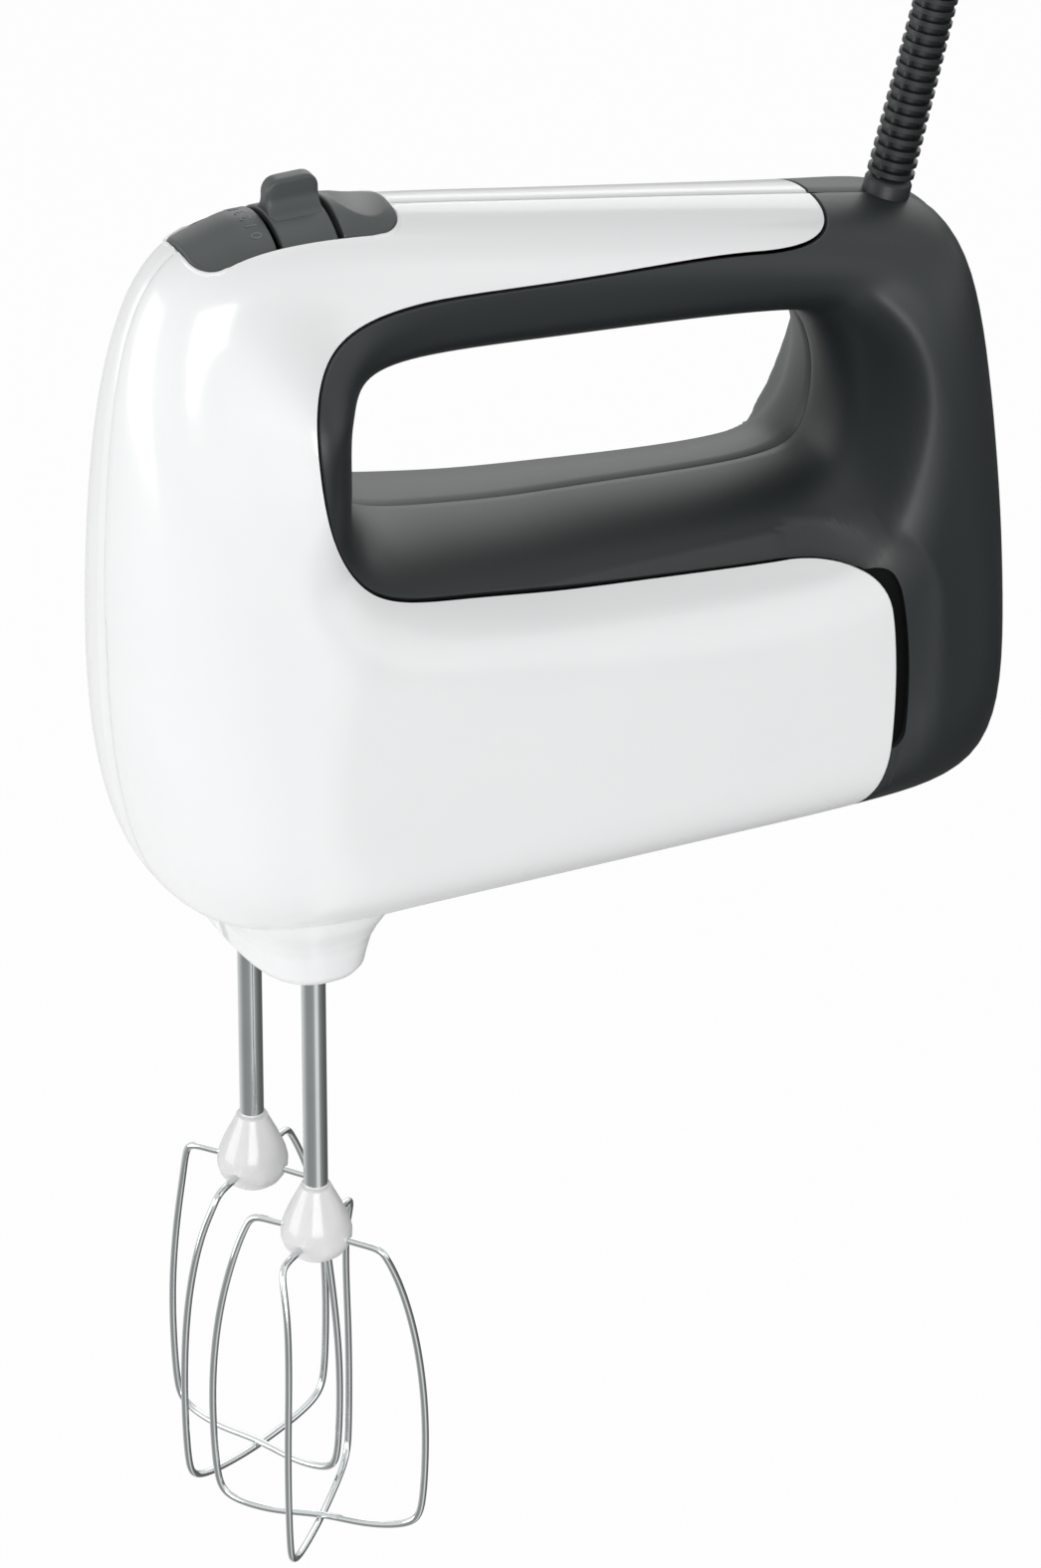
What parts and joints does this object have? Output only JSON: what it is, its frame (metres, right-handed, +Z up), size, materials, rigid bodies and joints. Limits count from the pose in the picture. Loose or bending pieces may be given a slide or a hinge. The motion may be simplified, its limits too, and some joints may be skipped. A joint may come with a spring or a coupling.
{
  "type": "hand mixer",
  "caption": "Hand mixer: two-tone body round an open handle, speed paddle and turbo button on top, worm-driven spindles and push-out wire beaters.",
  "frame": {"origin": "middle of the handle, where a hand closes round it", "axes": "+X towards the heel and the mains lead, +Y towards the mixer's right, +Z up, away from the beaters"},
  "size_m": [0.2744, 0.0865, 0.3618],
  "materials": {
    "white_shell": "gloss",
    "dark_shell": "satin gloss",
    "control_grey": "fine satin",
    "hub_white": "gloss",
    "wire_steel": "polished",
    "shaft_steel": "ground",
    "spring_steel": "bright drawn",
    "core_steel": "laminated steel",
    "winding_copper": "enamelled copper",
    "bearing_bronze": "sintered bronze",
    "bracket_zinc": "die cast",
    "gear_nylon": "natural nylon",
    "inner_plastic": "moulded",
    "carbon": "graphite",
    "board_green": "lacquered",
    "lead_sleeve": "smooth",
    "cord_black": "satin",
    "pin_brass": "nickel plated"
  },
  "bodies": {
    "mixer_body": {"housing_left": "white_shell", "housing_right": "white_shell", "grip_left": "dark_shell", "grip_right": "dark_shell", "control_panel": "control_grey", "selector_pin": "shaft_steel", "turbo_spring": "spring_steel", "turbo_switch": "inner_plastic", "speed_switch": "inner_plastic", "circuit_board": "board_green", "control_chassis": "inner_plastic", "noise_suppressor": "inner_plastic", "stator_core": "core_steel", "field_coils": "winding_copper", "front_bearing": "bearing_bronze", "middle_bearing": "bearing_bronze", "rear_bearing": "bearing_bronze", "brush_holders": "bearing_bronze", "carbon_brushes": "carbon", "front_bracket": "bracket_zinc", "rear_bracket": "bracket_zinc", "motor_screws": "shaft_steel", "gearbox_housing": "inner_plastic", "gearbox_cover": "inner_plastic", "gearbox_screws": "shaft_steel", "spindle_bushes": "bearing_bronze", "ejector_spring": "spring_steel", "housing_screws": "shaft_steel", "cord_clamp": "inner_plastic", "inner_leads": "lead_sleeve", "strain_relief": "cord_black", "power_cord": "cord_black", "cord_hank": "cord_black", "cord_tie": "cord_black", "plug_body": "cord_black", "plug_pins": "pin_brass"},
    "rotor": {"motor_shaft": "shaft_steel", "rotor_core": "core_steel", "rotor_windings": "winding_copper", "commutator": "winding_copper", "cooling_fan": "inner_plastic", "worm": "shaft_steel"},
    "drive_left": {"gear_left": "gear_nylon", "spindle_left": "shaft_steel"},
    "drive_right": {"gear_right": "gear_nylon", "spindle_right": "shaft_steel"},
    "ejector": {"ejector_plate": "gear_nylon"},
    "thrust_left": {"pusher_left": "gear_nylon"},
    "thrust_right": {"pusher_right": "gear_nylon"},
    "beater_left": {"beater_shaft_left": "wire_steel", "beater_hub_left": "hub_white", "lower_loop_left": "wire_steel", "upper_loop_left": "wire_steel"},
    "beater_right": {"beater_shaft_right": "wire_steel", "beater_hub_right": "hub_white", "lower_loop_right": "wire_steel", "upper_loop_right": "wire_steel"},
    "selector": {"speed_selector": "control_grey"},
    "turbo": {"turbo_button": "control_grey"}
  },
  "joints": [
    {"name": "rotor_spin", "type": "hinge", "parent": "mixer_body", "child": "rotor", "pos_m": [-0.0685, 0, -0.092], "axis": [1, 0, 0], "continuous": true},
    {"name": "gear_left_spin", "type": "hinge", "parent": "mixer_body", "child": "drive_left", "pos_m": [-0.0685, -0.0155, -0.092], "axis": [0, 0, 1], "continuous": true},
    {"name": "gear_right_spin", "type": "hinge", "parent": "mixer_body", "child": "drive_right", "pos_m": [-0.0685, 0.0155, -0.092], "axis": [0, 0, 1], "continuous": true},
    {"name": "ejector_slide", "type": "slide", "parent": "mixer_body", "child": "ejector", "axis": [0, 0, -1], "range_m": [0, 0.006], "stiffness_N_per_m": 400, "springref_m": -0.005, "deforming": ["ejector_spring"]},
    {"name": "pusher_left_slide", "type": "slide", "parent": "drive_left", "child": "thrust_left", "axis": [0, 0, -1], "range_m": [0, 0.006]},
    {"name": "pusher_right_slide", "type": "slide", "parent": "drive_right", "child": "thrust_right", "axis": [0, 0, -1], "range_m": [0, 0.006]},
    {"name": "beater_left_pull", "type": "slide", "parent": "thrust_left", "child": "beater_left", "axis": [0, 0, -1], "range_m": [0, 0.055]},
    {"name": "beater_right_pull", "type": "slide", "parent": "thrust_right", "child": "beater_right", "axis": [0, 0, -1], "range_m": [0, 0.055]},
    {"name": "selector_turn", "type": "hinge", "parent": "mixer_body", "child": "selector", "pos_m": [-0.065, 0, 0.0074], "axis": [1, 0, 0], "range_deg": [-22, 22]},
    {"name": "turbo_press", "type": "slide", "parent": "mixer_body", "child": "turbo", "axis": [0, 0, -1], "range_m": [0, 0.002], "stiffness_N_per_m": 600, "springref_m": -0.002, "deforming": ["turbo_spring"]}
  ],
  "couplings": [
    {"joint": "gear_left_spin", "follows": "rotor_spin", "ratio": 0.066667},
    {"joint": "gear_right_spin", "follows": "rotor_spin", "ratio": -0.066667},
    {"joint": "beater_right_pull", "follows": "beater_left_pull", "ratio": 1},
    {"joint": "pusher_left_slide", "follows": "ejector_slide", "ratio": 1},
    {"joint": "pusher_right_slide", "follows": "ejector_slide", "ratio": 1}
  ]
}
